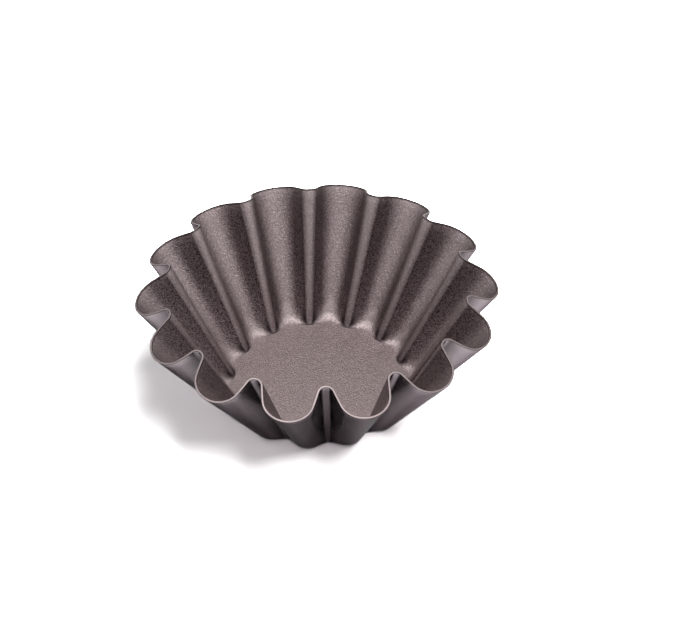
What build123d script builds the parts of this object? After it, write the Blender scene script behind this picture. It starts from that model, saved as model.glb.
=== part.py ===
"""Brioche mould: a round fluted tin, pressed in one piece from sheet steel that is coated on both faces.

The mould stands on its flat base, with Z up and the origin at the centre of the base. Each flute has
a round lobe that bulges outwards and a tight ridge that folds inwards. At the rim, one lobe's crest
points along +X. Lengths are in millimetres and angles in degrees.
"""

import os
from dataclasses import dataclass
from math import acos, asin, atan2, cos, hypot, radians, sin, sqrt, tan

from build123d import *

os.makedirs("parts", exist_ok=True)

# Sheet and its two coats
sheet_thickness = 0.4
lining_thickness = 0.05  # non-stick coat on the inside
lacquer_thickness = 0.05  # heatproof coat on the outside

# Rim, measured on the outside
mouth_radius = 40.0  # from the axis to the lobes' crests
rim_flute_depth = 6.8  # from the crests in to the ridges
crest_rim_height = 25.7  # from the table to the rim at a lobe's crest
rim_wave = 3.9  # how much higher the rim stands at a ridge
rim_fold = 1.5  # radius round a ridge

# Base, measured on the outside
base_radius = 18.9  # flat part, from the axis to the ridges' feet
base_flute_depth = 1.0  # how much further it reaches under the lobes
base_fold = 1.2  # radius round a ridge's foot
lobe_bend = 3.6  # bend from the base up into a lobe
ridge_bend = 1.2  # bend from the base up into a ridge

# Flutes
flute_count = 14
flute_lean = 2.5  # the base's pattern is turned this far past the rim's
lobe_share = 0.945  # lobe's radius in the room that two ridges leave it

# Making
trim_stock = 1.5  # sheet that stands above the rim until it is trimmed
bend_steps = 5  # sections above the first that shape the bend at the base

pitch = 360 / flute_count
half_pitch = radians(pitch / 2)
ridge_rim_height = crest_rim_height + rim_wave
wall_top = ridge_rim_height + trim_stock


@dataclass
class Profile:
    """Upright outline of the outside: flat base, bend, then a straight wall up to the rim."""

    base: float
    bend: float
    rim: float
    height: float

    def slope(self):
        """Angle between the straight wall and the table."""
        run = self.rim - self.base
        rise = self.height - self.bend
        return atan2(rise, run) + asin(self.bend / hypot(run, rise))

    def bend_height(self, inset):
        """Height at which the wall leaves its bend, an inset inside the outside."""
        return self.bend - (self.bend - inset) * cos(self.slope())

    def radius(self, height, inset):
        """Distance from the axis at a height, an inset inside the outside."""
        bend = self.bend - inset
        above_bend = height - self.bend_height(inset)
        if above_bend > 0:
            return self.base + bend * sin(self.slope()) + above_bend / tan(self.slope())
        drop = min(self.bend - height, bend)
        return self.base + sqrt(bend**2 - drop**2)


crest_profile = Profile(base_radius + base_flute_depth, lobe_bend, mouth_radius, crest_rim_height)
ridge_profile = Profile(base_radius, ridge_bend, mouth_radius - rim_flute_depth, ridge_rim_height)


def flute_section(height, inset):
    """Outline of all the flutes at one height, as a face, an inset inside the outside."""
    outer_fold = base_fold + (rim_fold - base_fold) * height / ridge_rim_height
    outer_ridge = ridge_profile.radius(height, 0)
    room = (outer_ridge + outer_fold) * sin(half_pitch) - outer_fold
    lobe = lobe_share * room - inset
    fold = outer_fold + inset
    crest = crest_profile.radius(height, inset)
    ridge = ridge_profile.radius(height, inset)

    # Centres of the lobe's arc and the ridge's arc, and the way from each to the flank they share
    lobe_centre = Vector(crest - lobe, 0)
    fold_centre = Vector((ridge + fold) * cos(half_pitch), (ridge + fold) * sin(half_pitch))
    across = fold_centre - lobe_centre
    flank = atan2(across.Y, across.X) - acos((lobe + fold) / across.length)
    outwards = Vector(cos(flank), sin(flank))

    lobe_end = lobe_centre + outwards * lobe
    fold_start = fold_centre - outwards * fold
    lobe_start = Vector(lobe_end.X, -lobe_end.Y)
    fold_end = Vector(fold_start.X, -fold_start.Y).rotate(Axis.Z, pitch)
    with BuildLine() as flute:
        ThreePointArc(lobe_start, Vector(crest, 0), lobe_end)
        Line(lobe_end, fold_start)
        ThreePointArc(fold_start, Vector(ridge, 0).rotate(Axis.Z, pitch / 2), fold_end)
        Line(fold_end, lobe_start.rotate(Axis.Z, pitch))

    lean = flute_lean * (1 - height / crest_rim_height)
    with BuildSketch(Plane.XY.offset(height)) as section:
        with BuildLine():
            with PolarLocations(0, flute_count, start_angle=lean):
                add(flute.line)
        make_face()
    return section.sketch


def fluted_solid(inset):
    """Everything that lies an inset or more inside the outside, up to the untrimmed top."""
    bend_top = max(crest_profile.bend_height(inset), ridge_profile.bend_height(inset))
    # An arc rises with the square of its turn, so the sections crowd towards the base
    heights = [inset + (bend_top - inset) * (step / bend_steps) ** 2 for step in range(bend_steps + 1)]
    bend_sections = [flute_section(height, inset) for height in heights]
    with BuildPart() as solid:
        loft(bend_sections)
        loft([bend_sections[-1], flute_section(wall_top, inset)], ruled=True)
    return solid.part


# Waste above the rim: it ends at the cone that passes through the rim's crests and ridges
rim_rise_share = rim_wave / rim_flute_depth
waste_top = wall_top + trim_stock
waste_reach = 2 * mouth_radius
with BuildPart() as rim_waste:
    with BuildSketch(Plane.XZ):
        with BuildLine():
            Polyline(
                (mouth_radius - (waste_top - crest_rim_height) / rim_rise_share, waste_top),
                (waste_reach, waste_top),
                (waste_reach, crest_rim_height - (waste_reach - mouth_radius) * rim_rise_share),
                close=True,
            )
        make_face()
    revolve(axis=Axis.Z)

lacquer_face = fluted_solid(0)
outer_steel_face = fluted_solid(lacquer_thickness)
inner_steel_face = fluted_solid(lacquer_thickness + sheet_thickness)
lining_face = fluted_solid(lacquer_thickness + sheet_thickness + lining_thickness)

# Outer lacquer: the coat that stands on the table
with BuildPart() as outer_lacquer:
    add(lacquer_face)
    add(outer_steel_face, mode=Mode.SUBTRACT)
    add(rim_waste.part, mode=Mode.SUBTRACT)
outer_lacquer.part.label = "outer_lacquer"
export_step(outer_lacquer.part, "parts/outer_lacquer.step")

# Steel pressing: the mould's body, bare only along its trimmed rim
with BuildPart() as steel_pressing:
    add(outer_steel_face)
    add(inner_steel_face, mode=Mode.SUBTRACT)
    add(rim_waste.part, mode=Mode.SUBTRACT)
steel_pressing.part.label = "steel_pressing"
export_step(steel_pressing.part, "parts/steel_pressing.step")

# Non-stick lining: the coat that the dough touches
with BuildPart() as nonstick_lining:
    add(inner_steel_face)
    add(lining_face, mode=Mode.SUBTRACT)
    add(rim_waste.part, mode=Mode.SUBTRACT)
nonstick_lining.part.label = "nonstick_lining"
export_step(nonstick_lining.part, "parts/nonstick_lining.step")
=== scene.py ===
# %% [markdown]
# A brioche mould is a small round tin with fluted, flared walls. It is pressed in one piece from thin
# steel sheet that already carries a coat on each face: a speckled non-stick lining inside and a smooth
# dark lacquer outside. Only the trimmed edge of the rim is bare steel.
#
# The lesson builds it in this order: the frame from the CAD model, a way to write node arithmetic as
# plain sums, the rule of the flutes as Geometry Nodes, the finishes, the three layers, and the studio.
# The frame is the packed CAD model at its real size and place. It stays as it is, and the pieces that are
# made here take the place of its nodes.

import math

import bpy
from mathutils import Matrix, Vector


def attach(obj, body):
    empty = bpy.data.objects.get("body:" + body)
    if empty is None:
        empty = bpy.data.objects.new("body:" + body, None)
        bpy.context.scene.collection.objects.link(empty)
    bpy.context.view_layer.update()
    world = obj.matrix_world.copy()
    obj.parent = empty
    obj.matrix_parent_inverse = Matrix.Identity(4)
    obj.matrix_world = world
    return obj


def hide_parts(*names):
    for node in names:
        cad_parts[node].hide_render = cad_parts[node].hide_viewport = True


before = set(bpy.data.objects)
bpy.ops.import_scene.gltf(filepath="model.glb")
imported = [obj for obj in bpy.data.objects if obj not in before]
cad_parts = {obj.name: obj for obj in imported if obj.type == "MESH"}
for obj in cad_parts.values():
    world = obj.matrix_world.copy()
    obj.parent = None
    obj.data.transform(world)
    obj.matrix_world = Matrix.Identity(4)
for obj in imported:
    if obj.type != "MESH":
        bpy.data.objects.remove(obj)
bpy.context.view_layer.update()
mm = 0.001
print("CAD nodes:", ", ".join(sorted(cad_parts)))

# %% [markdown]
# The whole mould follows one rule, so its sizes are few. They are the real sizes of the tin, in metres,
# measured to the outside of the lacquer. The coats and the sheet are given as depths below that outside:
# a layer is what lies between two such depths.

# %% Sizes of the mould
flute_count = 14
flute_sizes = {
    "Mouth radius": 40.0 * mm,
    "Rim flute depth": 6.8 * mm,
    "Crest rim height": 25.7 * mm,
    "Rim wave": 3.9 * mm,
    "Rim fold": 1.5 * mm,
    "Base radius": 18.9 * mm,
    "Base flute depth": 1.0 * mm,
    "Base fold": 1.2 * mm,
    "Lobe bend": 3.6 * mm,
    "Ridge bend": 1.2 * mm,
    "Trim stock": 1.5 * mm,
    "Lobe share": 0.945,
    "Lean": math.radians(2.5),
}
lacquer_thickness = 0.05 * mm
sheet_thickness = 0.4 * mm
lining_thickness = 0.05 * mm

outside = 0.0
steel_outside = lacquer_thickness
steel_inside = steel_outside + sheet_thickness
inside = steel_inside + lining_thickness
edge_rounding = 0.1 * mm

rim_rise_share = flute_sizes["Rim wave"] / flute_sizes["Rim flute depth"]
print("Wall thickness in mm:", round(inside / mm, 3))

# %% [markdown]
# Geometry Nodes and shaders both work out numbers with Math nodes, and a long rule drawn node by node is
# hard to read. The small class below keeps one number of a tree, and ordinary arithmetic on it adds the
# nodes. The rule can then be written as it would be in a notebook, and the tree still holds every step.

# %% Node arithmetic
class Number:
    """One number in a node tree. Sums with it add Math nodes to that tree."""

    def __init__(self, tree, socket):
        self.tree = tree
        self.socket = socket

    def math(self, operation, *others):
        return work_out(self.tree, operation, self, *others)

    def __add__(self, other):
        return work_out(self.tree, "ADD", self, other)

    def __radd__(self, other):
        return work_out(self.tree, "ADD", other, self)

    def __sub__(self, other):
        return work_out(self.tree, "SUBTRACT", self, other)

    def __rsub__(self, other):
        return work_out(self.tree, "SUBTRACT", other, self)

    def __mul__(self, other):
        return work_out(self.tree, "MULTIPLY", self, other)

    def __rmul__(self, other):
        return work_out(self.tree, "MULTIPLY", other, self)

    def __truediv__(self, other):
        return work_out(self.tree, "DIVIDE", self, other)

    def __rtruediv__(self, other):
        return work_out(self.tree, "DIVIDE", other, self)

    def root(self):
        return self.math("MAXIMUM", 0.0).math("SQRT")

    def clamped(self):
        return self.math("MAXIMUM", 0.0).math("MINIMUM", 1.0)

    def cos(self):
        return self.math("COSINE")

    def sin(self):
        return self.math("SINE")


def work_out(tree, operation, *values):
    """Add one Math node to a tree, and return its result."""
    node = tree.nodes.new("ShaderNodeMath")
    node.operation = operation
    for plug, value in zip(node.inputs, values):
        set_input(tree, plug, value)
    return Number(tree, node.outputs[0])


def set_input(tree, plug, value):
    """Link a number to a socket, or write a plain value into it."""
    if isinstance(value, Number):
        tree.links.new(value.socket, plug)
    else:
        plug.default_value = value


number_methods = [name for name in vars(Number) if not name.startswith("_")]
print("Besides sums, a number can be asked for:", ", ".join(number_methods))

# %% [markdown]
# A node is added in one line when all that it needs is given by name. Its settings are properties, such as
# a data type. Its inputs are sockets, and each takes a plain value or a link from another node.

# %% Nodes by name
def add_node(tree, kind, values=None, **settings):
    """Add a node, set its properties, and link or fill its inputs by name."""
    node = tree.nodes.new(kind)
    for name, value in settings.items():
        setattr(node, name, value)
    for name, value in (values or {}).items():
        set_input(tree, node.inputs[name], value)
    return node


def result(tree, node, name=0):
    """One output of a node, by name or place, as a number."""
    return Number(tree, node.outputs[name])


print("Nodes are added by their type, such as ShaderNodeMath")

# %% [markdown]
# Some parts of the rule are needed again with other sizes. Such a part becomes a node group with named
# inputs and outputs, as a maker keeps a jig for a cut that comes back. The helpers below make a group,
# link its results, and place it in a tree.

# %% Node groups
FLOAT = "NodeSocketFloat"
INTEGER = "NodeSocketInt"
VECTOR = "NodeSocketVector"
MESH = "NodeSocketGeometry"
MATERIAL = "NodeSocketMaterial"


def sockets(names, socket_type=FLOAT):
    """The same type of socket for several names."""
    return {name: socket_type for name in names}


def new_group(name, kind, given, results):
    """Make a node group, and return it with its inputs as numbers. Both lists map names to types."""
    tree = bpy.data.node_groups.new(name, kind)
    for label, socket_type in given.items():
        tree.interface.new_socket(label, in_out="INPUT", socket_type=socket_type)
    for label, socket_type in results.items():
        tree.interface.new_socket(label, in_out="OUTPUT", socket_type=socket_type)
    entry = tree.nodes.new("NodeGroupInput")
    tree.nodes.new("NodeGroupOutput")
    return tree, {plug.name: Number(tree, plug) for plug in entry.outputs if plug.name}


def finish_group(tree, results):
    """Link the results of a node group to its outputs."""
    exit_node = next(node for node in tree.nodes if node.bl_idname == "NodeGroupOutput")
    for label, value in results.items():
        set_input(tree, exit_node.inputs[label], value)


def use_group(tree, group, values):
    """Place a node group in a tree, and return its outputs as numbers."""
    kind = "GeometryNodeGroup" if group.bl_idname == "GeometryNodeTree" else "ShaderNodeGroup"
    node = add_node(tree, kind, node_tree=group)
    for plug in node.inputs:
        if plug.name in values:
            set_input(tree, plug, values[plug.name])
    return {plug.name: Number(tree, plug) for plug in node.outputs}


print("Groups use the socket types", ", ".join((FLOAT, INTEGER, VECTOR, MESH, MATERIAL)))

# %% [markdown]
# Cut the tin upright through a lobe's crest and the outside is a flat base, a bend and a straight wall up
# to the rim. Cut through a ridge it is the same figure with other sizes. One node group holds that
# figure: it gives the distance from the axis at any height, for the outside or a depth below it. A coat
# or the sheet only needs another depth, so all layers share the same bends' centres, as bent sheet does.

# %% Upright outline
def build_upright_outline():
    group, given = new_group(
        "Upright outline",
        "GeometryNodeTree",
        given=sockets(("Height", "Depth", "Base", "Bend", "Rim", "Rim height")),
        results=sockets(("Radius", "Bend height")),
    )
    run = given["Rim"] - given["Base"]
    rise = given["Rim height"] - given["Bend"]
    reach = (run * run + rise * rise).root()
    slope = rise.math("ARCTAN2", run) + (given["Bend"] / reach).math("ARCSINE")
    bend = given["Bend"] - given["Depth"]
    bend_height = given["Bend"] - bend * slope.cos()
    drop = (given["Bend"] - given["Height"].math("MINIMUM", bend_height)).math("MINIMUM", bend)
    in_bend = (bend * bend - drop * drop).root()
    above_bend = (given["Height"] - bend_height).math("MAXIMUM", 0.0)
    radius = given["Base"] + in_bend + above_bend / slope.math("TANGENT")
    finish_group(group, {"Radius": radius, "Bend height": bend_height})
    return group


upright_outline = build_upright_outline()
print(upright_outline.name, "has", len(upright_outline.nodes), "nodes")

# %% [markdown]
# Two upright outlines carry the whole shape: one through the crest of a lobe, and one through a ridge. They
# differ in how far out and how high they end, in where the flat base stops, and in how tightly the sheet is
# bent there. Both are written as sums of the mould's own sizes, so that no size is given twice.

# %% Crest and ridge
def crest_sizes(given):
    """The upright outline's sizes through a lobe's crest."""
    return {
        "Base": given["Base radius"] + given["Base flute depth"],
        "Bend": given["Lobe bend"],
        "Rim": given["Mouth radius"],
        "Rim height": given["Crest rim height"],
    }


def ridge_sizes(given):
    """The upright outline's sizes through a ridge."""
    return {
        "Base": given["Base radius"],
        "Bend": given["Ridge bend"],
        "Rim": given["Mouth radius"] - given["Rim flute depth"],
        "Rim height": given["Crest rim height"] + given["Rim wave"],
    }


for cut, sizes in (("crest", crest_sizes(flute_sizes)), ("ridge", ridge_sizes(flute_sizes))):
    print("Outline through a", cut, "in mm:", {name: round(size / mm, 1) for name, size in sizes.items()})

# %% [markdown]
# Cut the tin level and each flute is a round lobe, a straight flank, and a tight fold round the ridge,
# all tangent to each other. The lobe and the fold are arcs. The fold grows slowly towards the rim, and the
# lobe takes most of the room that it leaves. Deeper in the sheet the lobe is smaller by that depth and the
# fold larger, which keeps the layers even all round.

# %% Arcs of a flute
def level_arcs(tree, given):
    """Radii of the lobe and the fold at one height and depth, and the places of their centres."""
    height, depth, half_pitch = given["Height"], given["Depth"], given["Half pitch"]
    place = {"Height": height, "Depth": depth}
    outside_place = {"Height": height, "Depth": 0.0}
    crest = use_group(tree, upright_outline, {**place, **crest_sizes(given)})["Radius"]
    ridge = use_group(tree, upright_outline, {**place, **ridge_sizes(given)})["Radius"]
    outer_ridge = use_group(tree, upright_outline, {**outside_place, **ridge_sizes(given)})["Radius"]
    fold_growth = given["Rim fold"] - given["Base fold"]
    outer_fold = given["Base fold"] + fold_growth * height / ridge_sizes(given)["Rim height"]
    room = (outer_ridge + outer_fold) * half_pitch.sin() - outer_fold
    lobe = given["Lobe share"] * room - depth
    fold = outer_fold + depth
    return {
        "lobe": lobe,
        "fold": fold,
        "lobe centre x": crest - lobe,
        "fold centre x": (ridge + fold) * half_pitch.cos(),
        "fold centre y": (ridge + fold) * half_pitch.sin(),
    }


fold_radii = [flute_sizes[name] for name in ("Base fold", "Rim fold")]
print("Fold's radius at the base and the rim in mm:", [round(radius / mm, 1) for radius in fold_radii])

# %% [markdown]
# The flank's direction follows from the two arcs' centres and radii: it is the inner tangent of two
# circles. The next group gives a point of the whole line. Three shares say how far the point has gone along
# the lobe, the flank and the fold, and "Side" mirrors it to the flute's other half. Towards the base the
# whole figure turns a little about the axis, because the real flutes lean.

# %% Level outline of one flute
LEVEL_PLACE = ("Height", "Depth", "Along lobe", "Along flank", "Along fold", "Side")


def build_level_outline():
    group, given = new_group(
        "Level outline",
        "GeometryNodeTree",
        given=sockets((*LEVEL_PLACE, "Half pitch", *flute_sizes)),
        results=sockets(("X", "Y")),
    )
    arcs = level_arcs(group, given)
    lobe, fold = arcs["lobe"], arcs["fold"]
    across_x = arcs["fold centre x"] - arcs["lobe centre x"]
    across_y = arcs["fold centre y"]
    across = (across_x * across_x + across_y * across_y).root()
    flank = across_y.math("ARCTAN2", across_x) - ((lobe + fold) / across).math("ARCCOSINE")

    lobe_turn = flank * given["Along lobe"]
    fold_turn = flank + (given["Half pitch"] - flank) * given["Along fold"]
    flank_x = across_x - (lobe + fold) * flank.cos()
    flank_y = across_y - (lobe + fold) * flank.sin()
    x = arcs["lobe centre x"] + lobe * lobe_turn.cos() + given["Along flank"] * flank_x
    y = lobe * lobe_turn.sin() + given["Along flank"] * flank_y
    x = x + fold * (flank.cos() - fold_turn.cos())
    y = (y + fold * (flank.sin() - fold_turn.sin())) * given["Side"]

    lean = given["Lean"] * (1.0 - given["Height"] / given["Crest rim height"])
    turned_x = x * lean.cos() - y * lean.sin()
    turned_y = x * lean.sin() + y * lean.cos()
    finish_group(group, {"X": turned_x, "Y": turned_y})
    return group


level_outline = build_level_outline()
print(level_outline.name, "has", len(level_outline.nodes), "nodes")

# %% [markdown]
# A layer is a closed skin. Its rows run from the middle of its underside out to the wall, up to the rim,
# across the trimmed edge, and back down to the middle of its upper face. Its columns run round one flute,
# from a ridge over the lobe to the next ridge. So a plain grid is enough: each of its points looks up its
# row and column, and takes its place by the rule. Most steps go to the bends, where the light turns.

# %% Rows and columns of a flute
STEPS = {
    "Lobe steps": 12,
    "Flank steps": 4,
    "Fold steps": 8,
    "Base rings": 4,
    "Bend rings": 10,
    "Wall rings": 14,
    "Edge rings": 6,
}


def half_columns(given):
    """Columns from a lobe's crest to a ridge."""
    return given["Lobe steps"] + given["Flank steps"] + given["Fold steps"]


def half_rows(given):
    """Rows from the middle of the base to the rim."""
    return given["Base rings"] + given["Bend rings"] + given["Wall rings"]


def flute_grid(tree, given):
    """A flat grid with a point for each row and column, and each point's column and row."""
    columns = half_columns(given) * 2.0
    rows = half_rows(given) * 2.0 + given["Edge rings"]
    grid = add_node(
        tree,
        "GeometryNodeMeshGrid",
        {"Size X": columns, "Size Y": rows, "Vertices X": columns + 1.0, "Vertices Y": rows + 1.0},
    )
    position = result(tree, add_node(tree, "GeometryNodeInputPosition"))
    place = add_node(tree, "ShaderNodeSeparateXYZ", {"Vector": position})
    column = result(tree, place, "X").math("ROUND")
    row = (result(tree, place, "Y") + rows * 0.5).math("ROUND")
    return result(tree, grid, "Mesh"), column, row


flute_columns = 2 * half_columns(STEPS)
layer_rows = 2 * half_rows(STEPS) + STEPS["Edge rings"]
print("Columns in a flute:", flute_columns, "and round the mould:", flute_columns * flute_count)
print("Rows from the middle of the underside to the middle of the upper face:", layer_rows)

# %% [markdown]
# A point's row and column become shares of each stretch: how far round the lobe, along the flank and round
# the fold, and how far out on the base, round the bend, up the wall and across the edge. A share runs from
# 0 to 1 and stays there, so the stretches can simply be added up. Both halves of a flute count outwards
# from the lobe's crest, and the inner face counts back down the rows of the outer one.

# %% Shares of each stretch
def share_of(number, start, length):
    """How far a number has gone through a stretch, from 0 to 1."""
    return ((number - start) / length).clamped()


def shares_round_flute(given, column):
    """Shares of the lobe, the flank and the fold, and the side of the crest that the point is on."""
    from_crest = column.math("ABSOLUTE")
    flank_start = given["Lobe steps"]
    fold_start = flank_start + given["Flank steps"]
    return {
        "Along lobe": share_of(from_crest, 0.0, given["Lobe steps"]),
        "Along flank": share_of(from_crest, flank_start, given["Flank steps"]),
        "Along fold": share_of(from_crest, fold_start, given["Fold steps"]),
        "Side": column.math("SIGN"),
    }


def shares_up_wall(given, row):
    """Shares of the base, the bend, the wall, and the edge between the two faces."""
    rim_row = half_rows(given)
    bend_start = given["Base rings"]
    wall_start = bend_start + given["Bend rings"]
    back = (row - rim_row - given["Edge rings"]).math("MAXIMUM", 0.0)
    level = row.math("MINIMUM", rim_row) - back
    return {
        "base": share_of(level, 0.0, given["Base rings"]),
        "bend": share_of(level, bend_start, given["Bend rings"]),
        "wall": share_of(level, wall_start, given["Wall rings"]),
        "edge": share_of(row, rim_row, given["Edge rings"]),
    }


print("Stretches with a share of their own:", ", ".join(STEPS))

# %% [markdown]
# The press leaves the wall a little too tall, and the rim is then trimmed along a cone. That one straight
# cut is what gives the real rim its wave: the lobes reach further out, so the cone cuts them lower. Above
# the bend the wall is straight, so a point there moves on a line, and the rim is where that line meets the
# cone. This is a quadratic equation, and its nearer root is the share of the line that the trim leaves. At
# the two corners of the sheet the cut drops by a small arc, so that the edge catches the light softly.

# %% Trimmed rim
def rim_share(given, depth, low, top, bend_height, wall_top):
    """Share of the straight wall that the trim leaves: where its line meets the trim's cone."""
    rounding = given["Edge rounding"]
    from_corner = depth.math("MINIMUM", given["Wall thickness"] - depth)
    short = (rounding - from_corner).math("MAXIMUM", 0.0)
    drop = rounding - (rounding * rounding - short * short).root()
    fall = given["Rim wave"] / given["Rim flute depth"]
    rise = wall_top - bend_height
    run_x = top["X"] - low["X"]
    run_y = top["Y"] - low["Y"]
    start = given["Crest rim height"] + fall * given["Mouth radius"] - drop - bend_height
    a = rise * rise - fall * fall * (run_x * run_x + run_y * run_y)
    b = start * rise + fall * fall * (low["X"] * run_x + low["Y"] * run_y)
    c = start * start - fall * fall * (low["X"] * low["X"] + low["Y"] * low["Y"])
    return (b - (b * b - a * c).root()) / a


print("Slope of the trim in degrees:", round(math.degrees(math.atan(rim_rise_share)), 1))

# %% [markdown]
# Now the shares are turned into places. A point on the base or in the bend lies on the level outline at
# its own height, drawn in towards the axis on the base. A point on the wall lies between the outline at
# the bend's top and the outline at the untrimmed top. The rings of the bend crowd towards the base, where
# it turns fastest against its height.

# %% Points of a flute
def flute_points(tree, given, around, up, pitch):
    """Each point's place, from its shares round the flute and up the wall."""
    depth = given["Outer depth"] + (given["Inner depth"] - given["Outer depth"]) * up["edge"]
    sizes = {name: given[name] for name in flute_sizes}
    sizes["Half pitch"] = pitch * 0.5
    at_depth = {"Height": 0.0, "Depth": depth}
    crest_bend = use_group(tree, upright_outline, {**at_depth, **crest_sizes(given)})
    ridge_bend = use_group(tree, upright_outline, {**at_depth, **ridge_sizes(given)})
    bend_height = crest_bend["Bend height"].math("MAXIMUM", ridge_bend["Bend height"])
    wall_top = given["Crest rim height"] + given["Rim wave"] + given["Trim stock"]
    height = depth + (bend_height - depth) * up["bend"] * up["bend"]
    low = use_group(tree, level_outline, {"Height": height, "Depth": depth, **around, **sizes})
    top = use_group(tree, level_outline, {"Height": wall_top, "Depth": depth, **around, **sizes})
    up_wall = up["wall"] * rim_share(given, depth, low, top, bend_height, wall_top)
    place = {
        "X": up["base"] * (low["X"] + up_wall * (top["X"] - low["X"])),
        "Y": up["base"] * (low["Y"] + up_wall * (top["Y"] - low["Y"])),
        "Z": height + up_wall * (wall_top - bend_height),
    }
    return result(tree, add_node(tree, "ShaderNodeCombineXYZ", place))


def with_places(tree, mesh, places):
    """The mesh with each value kept on its points, under its name, for the materials to read."""
    for name, value in places.items():
        kept = add_node(
            tree,
            "GeometryNodeStoreNamedAttribute",
            {"Geometry": mesh, "Name": name, "Value": value},
            data_type="FLOAT",
            domain="POINT",
        )
        mesh = result(tree, kept)
    return mesh


wall_heights = [flute_sizes[name] for name in ("Crest rim height", "Rim wave", "Trim stock")]
print("Height of the untrimmed wall in mm:", round(sum(wall_heights) / mm, 1))

# %% [markdown]
# All flutes of the mould are alike, because the die is cut that way. Modelling one and repeating it round
# the axis keeps the tree quick and the flutes the same. Instances share one mesh, but the export drops
# them, so they are made real. Then the seams between neighbours and the points in the middle of the base
# are merged, and the layer is one closed skin.

# %% Ring of flutes
merge_distance = 0.0001 * mm


def ring_of_flutes(tree, flute, count, pitch):
    """The flute repeated round the axis, made real, and merged into one closed skin."""
    number = result(tree, add_node(tree, "GeometryNodeInputIndex"))
    turn = add_node(tree, "ShaderNodeCombineXYZ", {"Z": number * pitch})
    points = add_node(tree, "GeometryNodePoints", {"Count": count})
    flutes = add_node(
        tree,
        "GeometryNodeInstanceOnPoints",
        {"Points": result(tree, points), "Instance": flute, "Rotation": result(tree, turn)},
    )
    real = add_node(tree, "GeometryNodeRealizeInstances", {"Geometry": result(tree, flutes)})
    closed = add_node(
        tree,
        "GeometryNodeMergeByDistance",
        {"Geometry": result(tree, real), "Distance": merge_distance},
    )
    return result(tree, closed)


print("Pitch of the flutes in degrees:", round(360 / flute_count, 2))

# %% [markdown]
# The last group puts the pieces of the rule together: grid, shares, places, ring, smooth shading and the
# layer's finish. Before the points move, each keeps three of its shares as attributes, because its place
# on the grid is lost afterwards. "fold" runs from a lobe's crest to a ridge, "bend" round the bend at the
# base, and "rise" up the wall. The finishes use them to put their marks, most of them painted shade and
# highlights, on every flute alike.

# %% Fluted layer
LAYER_DEPTHS = ("Outer depth", "Inner depth", "Wall thickness", "Edge rounding")


def build_fluted_layer():
    group, given = new_group(
        "Fluted layer",
        "GeometryNodeTree",
        given={
            **sockets((*flute_sizes, *LAYER_DEPTHS)),
            **sockets(("Flutes", *STEPS), INTEGER),
            "Finish": MATERIAL,
        },
        results={"Layer": MESH},
    )
    pitch = math.tau / given["Flutes"]
    mesh, column, row = flute_grid(group, given)
    around = shares_round_flute(given, column)
    up = shares_up_wall(given, row)
    places = {
        "fold": column.math("ABSOLUTE") / half_columns(given),
        "bend": up["bend"],
        "rise": up["wall"],
    }
    moved = {
        "Geometry": with_places(group, mesh, places),
        "Position": flute_points(group, given, around, up, pitch),
    }
    flute = result(group, add_node(group, "GeometryNodeSetPosition", moved))
    closed = ring_of_flutes(group, flute, given["Flutes"], pitch)
    smooth = result(group, add_node(group, "GeometryNodeSetShadeSmooth", {"Geometry": closed}))
    painted = add_node(
        group,
        "GeometryNodeSetMaterial",
        {"Geometry": smooth, "Material": given["Finish"]},
    )
    finish_group(group, {"Layer": result(group, painted)})
    return group


fluted_layer = build_fluted_layer()
print(fluted_layer.name, "has", len(fluted_layer.nodes), "nodes")

# %% [markdown]
# A finish that more than one layer uses is a shader node group. Both coats are sprayed, so both have the
# same kind of grain: droplets that dry as fine specks, and a slightly uneven film. The group gives the
# masks and a height, and each material decides how strong they are. It works in metres on Object
# coordinates, so the specks keep their real size wherever they fall.

# %% Sprayed grain
grain_contrast = (0.32, 0.68)
fleck_contrast = (0.34, 0.16)
cloud_contrast = (0.35, 0.65)
grain_detail = 2.0
grain_roughness = 0.6
cloud_detail = 3.0
grain_height = 0.7
fleck_height = 0.3


def stretched(tree, number, low, high):
    """Stretch the part of a number between two limits to the range from 0 to 1."""
    return ((number - low) / (high - low)).clamped()


def build_sprayed_grain():
    group, given = new_group(
        "Sprayed grain",
        "ShaderNodeTree",
        given={"Place": VECTOR, **sockets(("Grain size", "Fleck size", "Cloud size"))},
        results=sockets(("Grain", "Flecks", "Clouds", "Height")),
    )
    place = {"Vector": given["Place"]}
    grain_values = {
        "Scale": 1.0 / given["Grain size"],
        "Detail": grain_detail,
        "Roughness": grain_roughness,
    }
    grain = add_node(group, "ShaderNodeTexNoise", {**place, **grain_values})
    flecks = add_node(group, "ShaderNodeTexVoronoi", {**place, "Scale": 1.0 / given["Fleck size"]})
    cloud_values = {"Scale": 1.0 / given["Cloud size"], "Detail": cloud_detail}
    clouds = add_node(group, "ShaderNodeTexNoise", {**place, **cloud_values})
    grain_mask = stretched(group, result(group, grain), *grain_contrast)
    fleck_mask = stretched(group, result(group, flecks, "Distance"), *fleck_contrast)
    cloud_mask = stretched(group, result(group, clouds), *cloud_contrast)
    height = grain_mask * grain_height + fleck_mask * fleck_height
    finish_group(
        group,
        {"Grain": grain_mask, "Flecks": fleck_mask, "Clouds": cloud_mask, "Height": height},
    )
    return group


sprayed_grain = build_sprayed_grain()
print(sprayed_grain.name, "gives", ", ".join(item.name for item in sprayed_grain.interface.items_tree))

# %% [markdown]
# Both coats end in a dark line along the trimmed edge.
# Such a line needs a point's distance from the rim. The rim lies on a cone, so that distance is a short sum
# of the point's place. It is a group too, because both coats use it.

# %% Distance below the rim
def object_place(tree):
    """The place of a surface point in the object's own space, in metres."""
    return result(tree, add_node(tree, "ShaderNodeTexCoord"), "Object")


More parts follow.
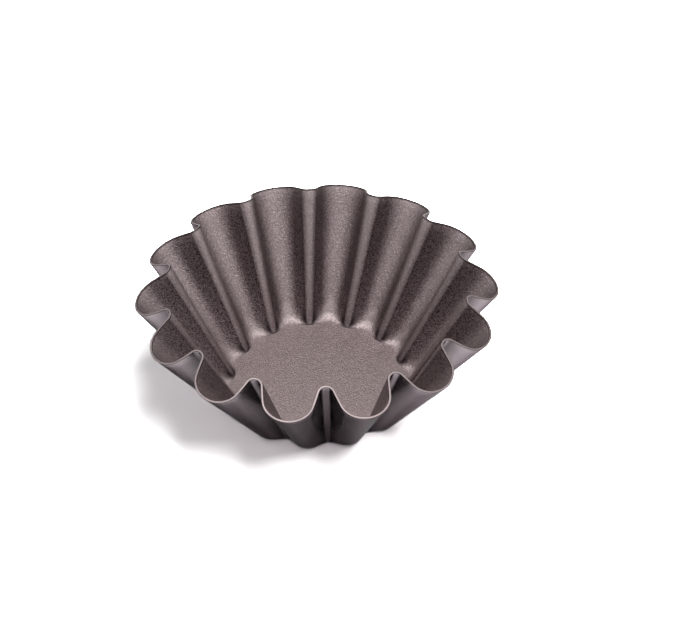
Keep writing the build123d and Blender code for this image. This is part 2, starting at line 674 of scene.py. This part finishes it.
def build_rim_distance():
    group, given = new_group(
        "Rim distance",
        "ShaderNodeTree",
        given={"Place": VECTOR, **sockets(("Mouth radius", "Crest rim height", "Rise share"))},
        results=sockets(("Below rim",)),
    )
    place = add_node(group, "ShaderNodeSeparateXYZ", {"Vector": given["Place"]})
    x, y, z = (result(group, place, axis) for axis in "XYZ")
    radius = (x * x + y * y).root()
    rim_height = given["Crest rim height"] + given["Rise share"] * (given["Mouth radius"] - radius)
    steepness = (1.0 + given["Rise share"] * given["Rise share"]).root()
    finish_group(group, {"Below rim": (rim_height - z) / steepness})
    return group


rim_distance = build_rim_distance()


def below_rim(tree):
    """Distance of a surface point below the trimmed edge, in metres."""
    values = {
        "Place": object_place(tree),
        "Mouth radius": flute_sizes["Mouth radius"],
        "Crest rim height": flute_sizes["Crest rim height"],
        "Rise share": rim_rise_share,
    }
    return use_group(tree, rim_distance, values)["Below rim"]


print(rim_distance.name, "has", len(rim_distance.nodes), "nodes")

# %% [markdown]
# Each finish is a Principled shader with a painted colour. The paint starts from a base, and marks are laid
# over it one after the other. A mask says where a mark lies, its strength how much of it shows, and its
# colour what it looks like. With the helpers below, each finish reads as a list of its marks.

# %% Helpers for the finishes
def new_finish(name):
    """A new material, its tree and its Principled shader."""
    material = bpy.data.materials.new(name)
    material.use_nodes = True
    tree = material.node_tree
    shader = next(node for node in tree.nodes if node.bl_idname == "ShaderNodeBsdfPrincipled")
    return material, tree, shader


def sprayed(tree, grain_size, fleck_size, cloud_size):
    """The sprayed grain placed in a material, with sizes of its own."""
    sizes = {"Grain size": grain_size, "Fleck size": fleck_size, "Cloud size": cloud_size}
    return use_group(tree, sprayed_grain, {"Place": object_place(tree), **sizes})


def kept_place(tree, name):
    """A share that the points keep as an attribute."""
    return result(tree, add_node(tree, "ShaderNodeAttribute", attribute_name=name), "Fac")


def band(tree, number, start, full, fade, end):
    """A mask that rises between two limits and falls between two others."""
    return stretched(tree, number, start, full) * stretched(tree, number, end, fade)


def mixed(tree, share, first, second):
    """Blend two colours, each written as a plain list or given by another node."""
    node = add_node(tree, "ShaderNodeMix", data_type="RGBA")
    factor, a, b = (plug for plug in node.inputs if plug.enabled)
    set_input(tree, factor, share)
    for plug, colour in ((a, first), (b, second)):
        set_input(tree, plug, colour if isinstance(colour, Number) else (*colour, 1.0))
    return Number(tree, next(plug for plug in node.outputs if plug.enabled))


def marked(tree, body, mask, strength, colour):
    """A colour with a mark laid over it."""
    return mixed(tree, mask * strength, body, colour)


def set_surface(tree, shader, coat, body, metallic, roughness, cloudiness, bump_strength, bump_depth):
    """Give the shader its colour, its gloss, which changes with the clouds, and its fine relief."""
    shader.inputs["Metallic"].default_value = metallic
    set_input(tree, shader.inputs["Base Color"], body)
    set_input(tree, shader.inputs["Roughness"], roughness + cloudiness * coat["Clouds"])
    relief = {"Strength": bump_strength, "Distance": bump_depth, "Height": coat["Height"]}
    bump = add_node(tree, "ShaderNodeBump", relief)
    set_input(tree, shader.inputs["Normal"], result(tree, bump))


print("Marks are laid over a base colour in turn, each by its mask")

# %% [markdown]
# The lining is a taupe non-stick coat with metal flakes in it, so it shines like dull metal, with a grain
# of light and dark specks. Over that, its colour carries painted light and shade. The flanks are darkened
# with painted shade. The ridge tops get a painted highlight, with a line of painted shade beside them. At
# a lobe's foot a light patch is a painted highlight, and the crease round a ridge's foot gets painted
# shade. All these marks follow the shares that the points keep, so they fit every flute.
#
# Two limits give a mask that rises from the first to the second, or falls if the second is smaller. Four
# limits give a band. Round a flute, 0 is a lobe's crest and 1 a ridge. Round the bend, 0 is the floor and
# 1 the wall. Up the wall, 0 is the bend and 1 the rim.

# %% Where the lining's marks lie
# The flanks, the line beside the ridges and the creases take painted shade; the ridge tops and lobes' feet
# take painted highlights.
shaded_flank_round_flute = (0.22, 0.58, 0.68, 0.76)
line_round_flute = (0.62, 0.68, 0.70, 0.76)
ridge_highlight_round_flute = (0.80, 0.90)
foot_round_flute = (0.62, 0.38)
foot_round_bend = (0.30, 0.85)
foot_taper = 4.5
floor_round_bend = (0.40, 0.0)
crease_round_flute = (0.56, 0.66)
crease_round_bend = (0.0, 0.05, 0.30, 0.62)
crease_side_round_flute = (0.54, 0.64, 0.70, 0.80)
crease_side_round_bend = (0.0, 0.10)
crease_side_up_wall = (0.10, 0.0)
wall_from_bend = (0.0, 0.08)
lining_edge = (0.50 * mm, 0.20 * mm)


def lining_places(tree):
    """Masks for the lining's painted shade and highlights, its darker floor and its dark edge."""
    fold, bend, rise = (kept_place(tree, name) for name in ("fold", "bend", "rise"))
    on_wall = stretched(tree, rise, *wall_from_bend)
    foot = stretched(tree, fold + foot_taper * rise, *foot_round_flute)
    # The crease round a ridge's foot takes painted shade.
    crease = stretched(tree, fold, *crease_round_flute) * band(tree, bend, *crease_round_bend)
    crease_side = band(tree, fold, *crease_side_round_flute)
    crease_side = crease_side * stretched(tree, bend, *crease_side_round_bend)
    crease_side = crease_side * stretched(tree, rise, *crease_side_up_wall)
    return {
        "floor": stretched(tree, bend, *floor_round_bend),
        # The flank, ridge, line, foot and crease masks place painted shade and highlights.
        "painted flank shade": band(tree, fold, *shaded_flank_round_flute) * on_wall,
        "painted ridge highlight": stretched(tree, fold, *ridge_highlight_round_flute) * on_wall,
        "painted shade beside ridge": band(tree, fold, *line_round_flute) * on_wall,
        "painted foot highlight": foot * stretched(tree, bend, *foot_round_bend),
        "crease": crease.math("MAXIMUM", crease_side),
        "edge": stretched(tree, below_rim(tree), *lining_edge),
    }


print("The lining's marks use the attributes fold, bend and rise")

# %% [markdown]
# The colours are linear values, as Blender's sockets take them. The painted shade on the flanks has a
# stipple of its own, in two colours further apart than the grain elsewhere. The gloss follows the clouds
# of the film, and the grain is also a relief of less than a tenth of a millimetre. Each number below
# stands by the name of what it does.

# %% Non-stick lining
lining_base = (0.188, 0.149, 0.150)
lining_grain = (0.342, 0.281, 0.283)
lining_fleck_and_highlight = (0.62, 0.54, 0.53)
lining_floor = (0.130, 0.102, 0.092)
# The next five colours are painted shade and highlight: the flanks' shade in two tones, the ridge
# highlight, the line beside it and the crease shade.
flank_shade_dark = (0.032, 0.020, 0.023)
flank_shade_light = (0.250, 0.192, 0.197)
painted_ridge_highlight = (0.55, 0.47, 0.47)
ridge_line_shade = (0.03, 0.015, 0.018)
painted_crease_shade = (0.02, 0.012, 0.014)
edge_dark = (0.03, 0.02, 0.02)
stipple_contrast = (0.30, 0.62)


def build_lining_finish():
    material, tree, shader = new_finish("speckled non-stick")
    coat = sprayed(tree, grain_size=0.30 * mm, fleck_size=0.6 * mm, cloud_size=7 * mm)
    places = lining_places(tree)
    stipple = stretched(tree, coat["Grain"], *stipple_contrast)
    flank_shade_stipple = mixed(tree, stipple, flank_shade_dark, flank_shade_light)
    body = mixed(tree, coat["Grain"], lining_base, lining_grain)
    body = marked(tree, body, coat["Flecks"], strength=0.4, colour=lining_fleck_and_highlight)
    body = marked(tree, body, places["floor"], strength=0.34, colour=lining_floor)
    # Painted shade on the flanks, with a stipple of light and dark specks.
    body = marked(tree, body, places["painted flank shade"], strength=0.8, colour=flank_shade_stipple)
    # Painted highlight on the ridge tops.
    body = marked(tree, body, places["painted ridge highlight"], strength=0.2, colour=painted_ridge_highlight)
    # A line of painted shade beside each ridge.
    body = marked(tree, body, places["painted shade beside ridge"], strength=0.3, colour=ridge_line_shade)
    # Painted highlight at each lobe's foot, in the flecks' light colour.
    body = marked(tree, body, places["painted foot highlight"], strength=0.28, colour=lining_fleck_and_highlight)
    # Painted shade in the crease round each ridge's foot.
    body = marked(tree, body, places["crease"], strength=0.9, colour=painted_crease_shade)
    body = marked(tree, body, places["edge"], strength=0.95, colour=edge_dark)
    set_surface(
        tree,
        shader,
        coat,
        body,
        metallic=0.9,
        roughness=0.32,
        cloudiness=0.08,
        bump_strength=1.0,
        bump_depth=0.08 * mm,
    )
    return material


lining_finish = build_lining_finish()
print(lining_finish.name, "has", len(lining_finish.node_tree.nodes), "nodes")

# %% [markdown]
# Outside, the sheet carries a smooth, dark, heatproof lacquer with a little metal in it. The wall leans
# out over the table, so what shows on it is mostly the table's reflection: dark at the foot, where the
# mould shades the table, and light at the sides. At a grazing look the film swallows part of that light.
# The shader's Specular Tint does the same on a metallic surface, and it is the same all over, so it is set
# directly on the socket. The grooves get painted shade, and just under the rim a fine line of the lacquer
# is darker.

# %% Dark lacquer
lacquer_base = (0.262, 0.230, 0.244)
lacquer_grain = (0.312, 0.275, 0.291)
# Painted shade for the grooves.
painted_groove_shade = (0.040, 0.032, 0.036)
lacquer_grazing_tint = (0.27, 0.25, 0.26, 1.0)
lacquer_grain_share = 0.5
groove_round_flute = (0.52, 0.66, 0.74, 0.84)
lacquer_edge = (0.20 * mm, 0.08 * mm)


def build_lacquer_finish():
    material, tree, shader = new_finish("dark lacquer")
    coat = sprayed(tree, grain_size=0.5 * mm, fleck_size=1.1 * mm, cloud_size=9 * mm)
    groove = band(tree, kept_place(tree, "fold"), *groove_round_flute)
    edge = stretched(tree, below_rim(tree), *lacquer_edge)
    body = mixed(tree, coat["Grain"] * lacquer_grain_share, lacquer_base, lacquer_grain)
    # Painted shade in the grooves.
    body = marked(tree, body, groove, strength=0.65, colour=painted_groove_shade)
    body = marked(tree, body, edge, strength=0.85, colour=edge_dark)
    set_surface(
        tree,
        shader,
        coat,
        body,
        metallic=0.9,
        roughness=0.17,
        cloudiness=0.06,
        bump_strength=0.12,
        bump_depth=0.02 * mm,
    )
    shader.inputs["Specular Tint"].default_value = lacquer_grazing_tint
    return material


lacquer_finish = build_lacquer_finish()
print(lacquer_finish.name, "has", len(lacquer_finish.node_tree.nodes), "nodes")

# %% [markdown]
# The steel shows only as the bright line of the trimmed edge, less than half a millimetre wide. It is
# metallic and dull, with fine tear marks of the shears. The sprayed grain, set finer, serves for those and
# saves another pattern.

# %% Bare sheared steel
steel_dark = (0.19, 0.157, 0.157)
steel_light = (0.28, 0.232, 0.232)


def build_steel_finish():
    material, tree, shader = new_finish("bare sheared steel")
    tears = sprayed(tree, grain_size=0.12 * mm, fleck_size=0.4 * mm, cloud_size=3 * mm)
    set_surface(
        tree,
        shader,
        tears,
        body=mixed(tree, tears["Grain"], steel_dark, steel_light),
        metallic=1.0,
        roughness=0.34,
        cloudiness=0.14,
        bump_strength=0.2,
        bump_depth=0.01 * mm,
    )
    return material


steel_finish = build_steel_finish()
print(steel_finish.name, "has", len(steel_finish.node_tree.nodes), "nodes")

# %% [markdown]
# Each layer is worked out from the tree and becomes a plain mesh. An empty object carries the modifier, its
# inputs are filled by their identifiers before Blender works it out for the first time, and the finished
# mesh goes to a new object. So no modifier is left on the piece, and its place is in its mesh.

# %% Work out a layer
def layer_mesh(name, outer_depth, inner_depth, finish):
    """The plain mesh of the layer that lies between two depths."""
    holder = bpy.data.objects.new(name + "_holder", bpy.data.meshes.new(name + "_holder"))
    bpy.context.scene.collection.objects.link(holder)
    modifier = holder.modifiers.new("Fluted layer", "NODES")
    modifier.node_group = fluted_layer
    values = {
        **flute_sizes,
        **STEPS,
        "Flutes": flute_count,
        "Outer depth": outer_depth,
        "Inner depth": inner_depth,
        "Wall thickness": inside,
        "Edge rounding": edge_rounding,
        "Finish": finish,
    }
    for item in fluted_layer.interface.items_tree:
        if item.in_out == "INPUT":
            modifier[item.identifier] = values[item.name]
    evaluated = holder.evaluated_get(bpy.context.evaluated_depsgraph_get())
    mesh = bpy.data.meshes.new_from_object(evaluated)
    mesh.name = name
    bpy.data.objects.remove(holder)
    return mesh


def mesh_size(mesh):
    """Length of a mesh along X, Y and Z, in millimetres."""
    places = [vertex.co for vertex in mesh.vertices]
    spans = (max(values) - min(values) for values in zip(*places))
    return [round(span / mm, 2) for span in spans]


depths = (outside, steel_outside, steel_inside, inside)
print("Depths of the layers' faces in mm:", [round(depth / mm, 2) for depth in depths])

# %% [markdown]
# The three layers lie in each other like shells: lacquer outside, steel between, lining inside. Each takes
# the place of the CAD node that it stands for and rides on the one body of the mould. They touch face to
# face, as coats on sheet do.

# %% Make the layers
def make_layer(name, outer_depth, inner_depth, finish, node):
    """Work out one layer, and put it in the place of its CAD node."""
    mesh = layer_mesh(name, outer_depth, inner_depth, finish)
    piece = bpy.data.objects.new(name, mesh)
    bpy.context.scene.collection.objects.link(piece)
    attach(piece, "root")
    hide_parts(node)
    print(name, "has", len(mesh.polygons), "faces and measures", mesh_size(mesh), "mm")
    return piece


lacquer = make_layer(
    "mould_lacquer", outside, steel_outside, lacquer_finish, "outer_lacquer"
)
steel = make_layer(
    "mould_steel", steel_outside, steel_inside, steel_finish, "steel_pressing"
)
lining = make_layer(
    "mould_lining", steel_inside, inside, lining_finish, "nonstick_lining"
)

# %% [markdown]
# The mould stands on a plain white table that fades into a white background, and the floor object is that
# table's top. Its colour depends on who looks. To the camera it is bright enough to turn white wherever
# the lamps reach it, so only the shadow shows. To a reflection it is less bright, but still brighter than
# paper, as the lit sweep round a small object is. To all other light it is plain paper, so it lights the
# mould no more than a real table would. A reflection that is seen only by way of a matt surface counts as
# other light too, which keeps the shadow grey.

# %% Floor
floor_half_size = 0.6
floor_gap = 0.02 * mm
plain_paper = (0.6, 0.6, 0.6)
mirrored_paper = (2.0, 2.0, 2.0)
seen_paper = (5.6, 5.6, 5.6)


def build_floor_finish():
    material = bpy.data.materials.new("white table")
    material.use_nodes = True
    tree = material.node_tree
    tree.nodes.clear()
    rays = add_node(tree, "ShaderNodeLightPath")
    clear_rays = result(tree, rays, "Is Transmission Ray")
    mirrored = result(tree, rays, "Is Glossy Ray").math("MAXIMUM", clear_rays)
    directly = 1.0 - result(tree, rays, "Diffuse Depth").math("MINIMUM", 1.0)
    colour = mixed(tree, mirrored * directly, plain_paper, mirrored_paper)
    colour = mixed(tree, result(tree, rays, "Is Camera Ray"), colour, seen_paper)
    paper = add_node(tree, "ShaderNodeBsdfDiffuse", {"Color": colour})
    output = add_node(tree, "ShaderNodeOutputMaterial")
    tree.links.new(paper.outputs[0], output.inputs["Surface"])
    return material


def build_floor():
    side = floor_half_size
    mesh = bpy.data.meshes.new("floor")
    corners = [(-side, -side, 0.0), (side, -side, 0.0), (side, side, 0.0), (-side, side, 0.0)]
    mesh.from_pydata(corners, [], [(0, 1, 2, 3)])
    mesh.materials.append(build_floor_finish())
    floor = bpy.data.objects.new("floor", mesh)
    floor.location.z = -floor_gap
    bpy.context.scene.collection.objects.link(floor)
    return floor


floor = build_floor()
print("Floor in metres:", 2 * floor_half_size, "each way")

# %% [markdown]
# The world is the room round the table. The camera and the reflections see it at a strength of 1, which is
# white. Matt surfaces get much less light from it than that, so that the lamps shape the shadow.

# %% White room
room_light = 0.10
white = (1.0, 1.0, 1.0, 1.0)


def build_room():
    world = bpy.data.worlds.new("studio")
    world.use_nodes = True
    tree = world.node_tree
    tree.nodes.clear()
    rays = add_node(tree, "ShaderNodeLightPath")
    seen = result(tree, rays, "Is Camera Ray")
    for kind in ("Is Glossy Ray", "Is Transmission Ray"):
        seen = seen.math("MAXIMUM", result(tree, rays, kind))
    strength = room_light + (1.0 - room_light) * seen
    background = add_node(tree, "ShaderNodeBackground", {"Color": white, "Strength": strength})
    output = add_node(tree, "ShaderNodeOutputWorld")
    tree.links.new(background.outputs[0], output.inputs["Surface"])
    return world


bpy.context.scene.world = build_room()
print("Room light:", room_light)

# %% [markdown]
# Four soft lamps stand where a small studio would have them. Two are for the table: a near one at the
# front right, and a long one high above. Together they leave the shadow at the left, and reflections don't
# show them. The other two are panels that only reflections show: a large one overhead, which gives the
# lining its sheen, and one at the right, which brightens the crests that face it. With the two kinds
# apart, the shadow and the sheen can be set without changing each other.

# %% Lamps
camera_turn = math.radians(-3.03)
lamp_aim = Vector((0.0, 0.0, 15.0 * mm))
LAMPS = {
    "key": {"place": (0.0936, -0.1125, 0.3491), "size": (0.21, 0.12), "power": 0.74, "roll": 1.081},
    "fill": {"place": (0.2328, 0.0781, 0.9400), "size": (0.60, 0.24), "power": 2.50, "roll": -0.017},
    "top": {"place": (-0.05, 0.0, 0.80), "size": (0.85, 0.85), "power": 5.9, "roll": 0.0},
    "side": {"place": (0.85, -0.60, 0.55), "size": (1.2, 0.8), "power": 2.2, "roll": 0.0},
}
PANELS = ("top", "side")


def add_lamp(name, place, size, power, roll):
    """An area lamp that faces the mould. Its place turns with the camera round the upright axis."""
    light = bpy.data.lights.new(name, "AREA")
    light.shape = "RECTANGLE"
    light.size, light.size_y = size
    light.energy = power
    lamp = bpy.data.objects.new(name, light)
    stand = Matrix.Rotation(camera_turn, 4, "Z") @ Vector(place)
    facing = (stand - lamp_aim).to_track_quat("Z", "Y").to_matrix().to_4x4()
    lamp.matrix_world = Matrix.Translation(stand) @ facing @ Matrix.Rotation(roll, 4, "Z")
    lamp.visible_glossy = name in PANELS
    lamp.visible_diffuse = name not in PANELS
    bpy.context.scene.collection.objects.link(lamp)
    return lamp


for lamp_name, values in LAMPS.items():
    lamp = add_lamp(lamp_name, **values)
    print(lamp.name, "lamp at", [round(side, 3) for side in lamp.location], "with", values["power"], "W")

# %% [markdown]
# The camera looks at the middle of the rim from the photograph's angle, 41 degrees above the table. Its
# angles and its lens were fitted to the rim in the photograph, where the crests and ridges of all fourteen
# flutes can be told apart. The mould isn't in the middle of the picture, so the lens is shifted by as much
# as the middle of the rim lies off the picture's middle, and no more.

# %% Camera
image_width = 680
image_height = 627
rim_centre_pixel = (317.2, 296.7)
focal_length_pixels = 2281.0
sensor_width = 36.0
camera_distance = 0.5
camera_rise = math.radians(41.09)
camera_roll = math.radians(-0.81)
nearest_seen = 0.01


def build_camera():
    rim_centre = Vector((0.0, 0.0, flute_sizes["Crest rim height"]))
    level = math.cos(camera_rise)
    towards_camera = Vector(
        (math.sin(camera_turn) * level, -math.cos(camera_turn) * level, math.sin(camera_rise))
    )
    lens = bpy.data.cameras.new("camera")
    lens.sensor_width = sensor_width
    lens.lens = focal_length_pixels / image_width * sensor_width
    lens.shift_x = (image_width / 2 - rim_centre_pixel[0]) / image_width
    lens.shift_y = -(image_height / 2 - rim_centre_pixel[1]) / image_width
    lens.clip_start = nearest_seen
    camera = bpy.data.objects.new("camera", lens)
    facing = towards_camera.to_track_quat("Z", "Y").to_matrix().to_4x4()
    turned = facing @ Matrix.Rotation(camera_roll, 4, "Z")
    camera.matrix_world = Matrix.Translation(rim_centre + camera_distance * towards_camera) @ turned
    bpy.context.scene.collection.objects.link(camera)
    return camera


camera = build_camera()
bpy.context.scene.camera = camera
bpy.context.scene.view_settings.view_transform = "Standard"
print("Camera in metres at", [round(side, 3) for side in camera.location])

# %% [markdown]
# The visual layers have to stay inside the box of the CAD model, because Blender gives the mould its looks
# and never changes its dimensions.
